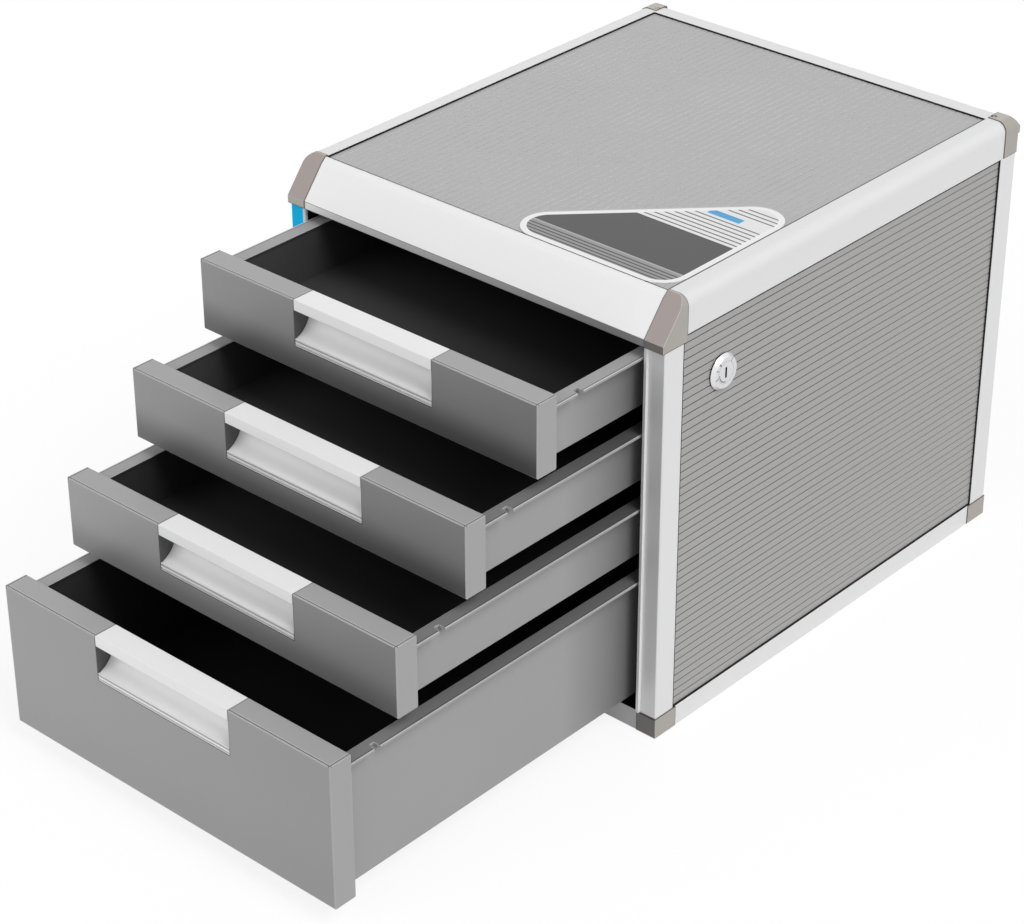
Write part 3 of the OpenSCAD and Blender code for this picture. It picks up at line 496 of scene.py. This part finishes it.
def front_finish(k):
    """Drawer front: painted shade makes its face darker to the right and towards its lower edge."""
    low, high = corners("drawer_%d_front" % k)
    half, face, top = high[0], low[1], high[2]
    deep = top - low[2]
    left, right, lower = FRONT_SHADE_LEVELS[k]
    f = Finish("drawer_%d_front" % k, roughness=0.38)
    base = drawer_grey(f, 165)
    # Painted shade across the face and towards its lower edge
    across = f.slope(f.x, -half, half, left, right)
    down = f.rise(f.z, top - 0.45 * deep, top - 0.95 * deep, 1.0, lower)
    base = f.dim(base, f.front(), f.times(across, down))
    # Painted highlights on the edges
    base = f.paint(base, f.edge(0.7), grey(226), 0.85)

    def border(near, far):
        """1 between two distances from the face, and from either end."""
        return f.either(f.within(f.y, face + near, face + far, 0.08),
                        f.within(f.aside, half - far, half - near, 0.08))

    # Painted shade as dark lines in the groove round the top and round the handle, and a painted
    # highlight as a light one beside the first
    groove_shade = f.both(border(0.8, 1.45), f.rise(f.z, top - 0.8, top - 0.6))
    base = f.paint(base, groove_shade, grey(44), 0.8)
    base = f.paint(base, f.both(border(1.5, 1.9), f.upward()), grey(216), 0.5)
    cut = top - CUT_DEEP
    # Painted shadow in the gap round the handle's cut-out
    gap_shadow = f.either(f.both(f.within(f.aside, CUT_HALF, CUT_HALF + 0.5, 0.06),
                          f.rise(f.z, cut - 0.2, cut)),
                   f.both(f.within(f.z, cut - 0.1, cut + 0.6, 0.06),
                          f.rise(f.aside, CUT_HALF + 0.6, CUT_HALF + 0.4)))
    base = f.paint(base, gap_shadow, grey(45), 0.85)
    f.bump(f.fine, 0.02, 0.35, f.rounded)
    return f.done(base, f.about(f.noise(60, 2), 0.38, 0.1))


def tray_finish(k):
    """Grey outside and on the rim, with painted shade inside; painted shade makes the right rims of
    the lower trays darker.
    """
    low, high = corners("drawer_%d_tray" % k)
    flange_end, top = high[0], high[2]
    outer = flange_end - TRAY_FLANGE
    inner = outer - TRAY_WALL
    f = Finish("drawer_%d_tray" % k, roughness=0.5, specular=0.35)
    base = drawer_grey(f, 163)
    upward = f.upward()
    # Painted shade: the walls grow darker towards the cabinet, and so does what lies under the
    # drawer above
    wall = f.both(f.rise(f.aside, outer + 0.8, outer + 0.4), f.rise(f.z, top - 1.3, top - 1.6))
    base = f.dim(base, wall, f.slope(f.y, -HALF_DEPTH - 60, -HALF_DEPTH - 6, 1.0, 0.52))
    if k > 1:
        rim = f.both(upward, f.rise(f.x, inner - 0.9, inner - 0.7))
        far_level = 0.46 if k == 4 else 0.29
        base = f.dim(base, rim, f.slope(f.y, low[1] + 10, -HALF_DEPTH - 12, 0.58, far_level))
    # Painted highlights on the edges
    base = f.paint(base, f.edge(0.6), grey(224), 0.8)
    # Painted shade as a dark line and a painted highlight as a light one along the outer edge of
    # each flange
    flange_shade = f.within(f.aside, flange_end - 1.5, flange_end - 0.9, 0.08)
    base = f.paint(base, f.both(flange_shade, upward), grey(36), 0.8)
    flange_highlight = f.within(f.aside, flange_end - 0.8, flange_end + 0.1)
    base = f.paint(base, f.both(flange_highlight, upward), grey(228), 0.7)
    inside = f.box((-inner - 0.3, low[1] + TRAY_WALL - 0.3, low[2] + TRAY_WALL - 0.3),
                   (inner + 0.3, high[1] - TRAY_WALL + 0.3, top - 0.35), 0.05)
    # Painted shade inside, with painted light reaching the left front corner, and less of it in the
    # lower drawers
    left_level = 0.5 if k > 2 else 1.0
    inside_light = f.times(f.slope(f.x, -outer, outer * 0.6, left_level, 0.05),
                  f.slope(f.y, low[1], low[1] + 190, 1.0, 0.05))
    base = f.paint(base, inside, f.shade(grey(74), f.math("MAXIMUM", inside_light, 0.02)))
    f.bump(f.fine, 0.02, 0.3, f.rounded)
    return f.done(base, f.about(inside, 0.65, 0.3))


def handle_white(k):
    """White moulding; painted shade on its scoop towards the right, and its foot has two dark
    lines.
    """
    low, high = corners("drawer_%d_handle" % k)
    half, face, foot, top = high[0], low[1], low[2], high[2]
    f = Finish("drawer_%d_handle" % k, roughness=0.3)
    fine = f.noise(900, 2)
    base = f.shade(grey(242), f.about(fine, 1.0, 0.02))
    # Painted shade on the scoop, deeper to the right
    scoop = f.both(f.rise(f.y, face + 1.5, face + 5), f.rise(f.z, top - 7, top - 8))
    right_level = 0.85 if k < 4 else 1.0
    base = f.dim(base, scoop, f.slope(f.x, -half * 0.9, half * 0.55, 1.0, right_level))
    # Painted highlights on the edges
    base = f.paint(base, f.edge(0.4), PAINTED_HIGHLIGHT, 0.5)
    # Painted shade on the ends
    base = f.paint(base, f.within(f.aside, half - 0.3, half + 1, 0.08), grey(120), 0.5)
    # Painted shade as a dark line under the lip, with the two dark lines of the foot
    under_shadow = f.both(f.within(f.z, top - 7.5, top - 6.9), f.front())
    steps = [f.within(f.z, foot + at, foot + at + 0.55, 0.08) for at in (0.55, 2.9)]
    lines = f.both(f.either(*steps), f.rise(f.y, face + 1.6, face + 1.2))
    base = f.paint(base, f.either(lines, under_shadow), grey(60), 0.7)
    f.bump(fine, 0.01, 0.3, f.rounded)
    return f.done(base, f.about(f.noise(80, 2), 0.3, 0.1))


# Labels

def to_segment(f, u, v, a, b):
    """Distance from (u, v) to the line between points a and b."""
    along = (b[0] - a[0], b[1] - a[1])
    square = along[0] ** 2 + along[1] ** 2
    du, dv = f.math("SUBTRACT", u, a[0]), f.math("SUBTRACT", v, a[1])
    dot = f.math("MULTIPLY_ADD", du, along[0] / square, f.times(dv, along[1] / square))
    share = f.math("ADD", dot, 0.0, clamp=True)
    return f.reach(f.math("MULTIPLY_ADD", share, -along[0], du),
                   f.math("MULTIPLY_ADD", share, -along[1], dv))


def top_label():
    """Printed film: white border, grey stripes in front, a plain dark field, and fine lines behind.

    u runs from the right edge to the left and v from the front edge to the back, in millimetres.
    """
    low, high = corners("label_top")
    side, radius = high[0] - low[0], 19.0
    f = Finish("top_label_print", roughness=0.32)
    u = f.math("MULTIPLY_ADD", f.x, -1 / MM, high[0])
    v = f.math("MULTIPLY_ADD", f.y, 1 / MM, -low[1])
    # out is 0 inside the triangle between the middles of the corners, and grows away from it
    a, b, c = (radius, radius), (side - radius, radius), (radius, side - radius)
    out = f.math("MINIMUM", to_segment(f, u, v, a, b), to_segment(f, u, v, b, c))
    out = f.math("MINIMUM", out, to_segment(f, u, v, c, a))
    middle = f.both(f.ramp(u, radius, radius + 0.01), f.ramp(v, radius, radius + 0.01),
                    f.ramp(f.math("ADD", u, v), side + 0.01, side))
    out = f.times(out, f.math("SUBTRACT", 1.0, middle))

    def band(value, start, end, soft):
        """1 from start to end, with soft edges inside them."""
        return f.both(f.ramp(value, start, start + soft), f.ramp(value, end, end - soft))

    def stripes(start, end, pitch, width):
        """Lines of one width along u, each a pitch further back."""
        turns = f.math("FRACT", f.math("MULTIPLY_ADD", v, 1 / pitch, -start / pitch))
        share = width / pitch
        one = f.both(f.ramp(turns, share, share - 0.06), f.ramp(turns, 0, 0.06))
        return f.both(band(v, start, end, 0.05), one)

    ink = f.paint(grey(146), f.ramp(v, 19.8, 20.0), grey(60))
    ink = f.paint(ink, stripes(5.6, 17, 3.2, 1.2), grey(30))
    ink = f.paint(ink, band(v, 18.9, 20.3, 0.2), grey(176))
    ink = f.paint(ink, f.ramp(v, 65.8, 66.0), grey(236))
    ink = f.paint(ink, stripes(68.5, 92, 4.3, 1.3), grey(34))
    ink = f.paint(ink, stripes(104, 116.6, 4.3, 1.3), grey(34))
    ink = f.paint(ink, f.both(band(u, 22, 47, 1), band(v, 93.6, 100, 0.6)), ACCENT_BLUE)
    base = f.paint(grey(246), f.ramp(out, radius - 4.4, radius - 4.8), ink)
    base = f.paint(base, f.ramp(out, radius - 0.9, radius - 0.5), grey(120), 0.6)
    gloss = f.noise(60, 2)
    return f.done(f.shade(base, f.about(gloss, 1.0, 0.02)), f.about(gloss, 0.32, 0.08))


def post_label():
    """Blue film with a white strip along its right edge and its lower end."""
    low, high = corners("label_post")
    f = Finish("post_label_blue", roughness=0.6, specular=0.1)
    base = f.shade(FILM_BLUE, f.about(f.noise(300, 2), 1.0, 0.05))
    white = f.either(f.rise(f.z, low[2] + 1.3, low[2] + 1.1),
                     f.rise(f.x, high[0] - 1.4, high[0] - 1.2))
    return f.done(f.paint(base, white, grey(245)))


# Putting the finishes on

def starting(*starts):
    """Names of the nodes that start with one of these words."""
    return [name for name in NODES if name.startswith(starts)]


wear(silver("silver_post", 2), starting("post_"))
wear(silver("silver_side_rail", 1),
     ["top_rail_left", "top_rail_right", "bottom_rail_left", "bottom_rail_right"])
wear(silver("silver_cross_rail", 0), ["top_rail_back", "bottom_rail_front", "bottom_rail_back"])
wear(sloped_white(), ["top_rail_front"])

# Joints of the caps and feet with the rails and posts
top_rail_low, top_rail_high = corners("top_rail_right")
bottom_rail_low, bottom_rail_high = corners("bottom_rail_right")
back_post_top = corners("post_back_right")[1][2]
front_rail_end = corners("bottom_rail_front")[1][0]
taupe("cap_front_taupe", starting("cap_front_"),
      [(0, POST_INNER), (1, top_rail_low[1]), (2, POST_HIGH[2])])
taupe("cap_back_taupe", starting("cap_back_"),
      [(0, POST_INNER), (1, top_rail_high[1]), (2, back_post_top)])
taupe("foot_taupe", starting("foot_"),
      [(0, front_rail_end), (1, bottom_rail_low[1]), (1, bottom_rail_high[1]), (2, POST_FOOT)])

wear(ribbed("panel_top_ribbed", "panel_top", 0, TOP_SHEET, True), ["panel_top"])
wear(ribbed("panel_side_ribbed", "panel_right", 2, SIDE_SHEET, False),
     ["panel_left", "panel_right"])
wear(ribbed("panel_back_ribbed", "panel_back", 2, SIDE_SHEET, False), ["panel_back"])
wear(bottom_board(), ["panel_bottom"])
wear(rubber(), starting("seal_"))
wear(runner_black(), ["runner_left", "runner_right", "lock_bar_guides"])
wear(steel(), ["bottom_screws", "runner_screws", "lock_nut", "lock_crank", "lock_crank_screw",
               "lock_bar"] + ["drawer_%d_screws" % k for k in DRAWERS])
chrome("lock_ring_chrome", "lock_barrel")
chrome("lock_plug_chrome", "lock_plug")
for k in DRAWERS:
    wear(front_finish(k), ["drawer_%d_front" % k])
    wear(tray_finish(k), ["drawer_%d_tray" % k])
    wear(handle_white(k), ["drawer_%d_handle" % k])
wear(top_label(), ["label_top"])
wear(post_label(), ["label_post"])


# Floor, light and camera

def add(name, data):
    """A new object in the scene."""
    obj = bpy.data.objects.new(name, data)
    bpy.context.scene.collection.objects.link(obj)
    return obj


def seen(tree):
    """1 for rays from the camera, and for mirror and see-through rays."""
    path = tree.nodes.new("ShaderNodeLightPath")
    result = path.outputs["Is Camera Ray"]
    for name in ("Is Glossy Ray", "Is Transmission Ray"):
        joined = tree.nodes.new("ShaderNodeMath")
        joined.operation = "MAXIMUM"
        tree.links.new(result, joined.inputs[0])
        tree.links.new(path.outputs[name], joined.inputs[1])
        result = joined.outputs[0]
    return result


def floor():
    """A wide pale floor that goes to white for the camera and keeps a soft shadow."""
    half, level = 9.0, -0.0002      # metres
    square = np.array([[-1, -1], [1, -1], [1, 1], [-1, 1]]) * half
    points = np.column_stack([square, np.full(4, level)])
    mesh = bpy.data.meshes.new("floor")
    mesh.from_pydata(points.tolist(), [], [[0, 1, 2, 3]])
    material = bpy.data.materials.new("floor_white")
    material.use_nodes = True
    tree = material.node_tree
    tree.nodes.clear()
    out = tree.nodes.new("ShaderNodeOutputMaterial")
    diffuse = tree.nodes.new("ShaderNodeBsdfDiffuse")
    diffuse.inputs["Color"].default_value = (0.86, 0.86, 0.86, 1)
    glow = tree.nodes.new("ShaderNodeEmission")
    glow.inputs["Strength"].default_value = 1.06
    # The rest of what the camera sees is the lit floor, with its shadow
    share = tree.nodes.new("ShaderNodeMath")
    share.operation = "MULTIPLY"
    share.inputs[1].default_value = 0.8
    tree.links.new(seen(tree), share.inputs[0])
    mix = tree.nodes.new("ShaderNodeMixShader")
    tree.links.new(share.outputs[0], mix.inputs[0])
    tree.links.new(diffuse.outputs[0], mix.inputs[1])
    tree.links.new(glow.outputs[0], mix.inputs[2])
    tree.links.new(mix.outputs[0], out.inputs["Surface"])
    mesh.materials.append(material)
    add("floor", mesh)


def world(ambient):
    """Even light from all round, and white where the camera sees past the floor."""
    w = bpy.data.worlds.new("studio")
    bpy.context.scene.world = w
    w.use_nodes = True
    tree = w.node_tree
    tree.nodes.clear()
    out = tree.nodes.new("ShaderNodeOutputWorld")
    background = tree.nodes.new("ShaderNodeBackground")
    background.inputs["Color"].default_value = (1, 1, 1, 1)
    strength = tree.nodes.new("ShaderNodeMapRange")
    strength.inputs["To Min"].default_value = ambient
    strength.inputs["To Max"].default_value = 1.0
    tree.links.new(seen(tree), strength.inputs["Value"])
    tree.links.new(strength.outputs[0], background.inputs["Strength"])
    tree.links.new(background.outputs[0], out.inputs["Surface"])


def sun(name, towards, strength, angle):
    """A wide lamp that shines from the direction towards."""
    lamp = bpy.data.lights.new(name, "SUN")
    lamp.energy = strength
    lamp.angle = math.radians(angle)
    obj = add(name, lamp)
    obj.rotation_mode = "QUATERNION"
    obj.rotation_quaternion = Vector(towards).to_track_quat("Z", "Y")


CAMERA_TURN = (41.97, 30.50, -0.13)             # azimuth, elevation and roll, in degrees
CAMERA_PLACE = (1053.5, -1309.6, 1047.6)
CAMERA_LENS = 102.87


def camera():
    """The camera of the photograph."""
    azimuth, elevation, roll = (math.radians(v) for v in CAMERA_TURN)
    back = Vector((math.sin(azimuth) * math.cos(elevation),
                   -math.cos(azimuth) * math.cos(elevation), math.sin(elevation)))
    level = Vector((math.cos(azimuth), math.sin(azimuth), 0))
    right = level * math.cos(roll) + back.cross(level) * math.sin(roll)
    up = back.cross(right)
    data = bpy.data.cameras.new("camera")
    data.sensor_width = 36.0
    data.lens = CAMERA_LENS
    data.clip_start, data.clip_end = 0.05, 50
    obj = add("camera", data)
    turn = Matrix((right, up, back)).transposed().to_4x4()
    obj.matrix_world = Matrix.Translation(Vector(CAMERA_PLACE) * MM) @ turn
    bpy.context.scene.camera = obj


floor()
world(0.42)
sun("key", (0.62, -0.08, 0.78), 1.5, 30)
sun("front_fill", (-0.3, -0.85, 0.45), 0.72, 50)
camera()
bpy.context.scene.view_settings.view_transform = "Standard"
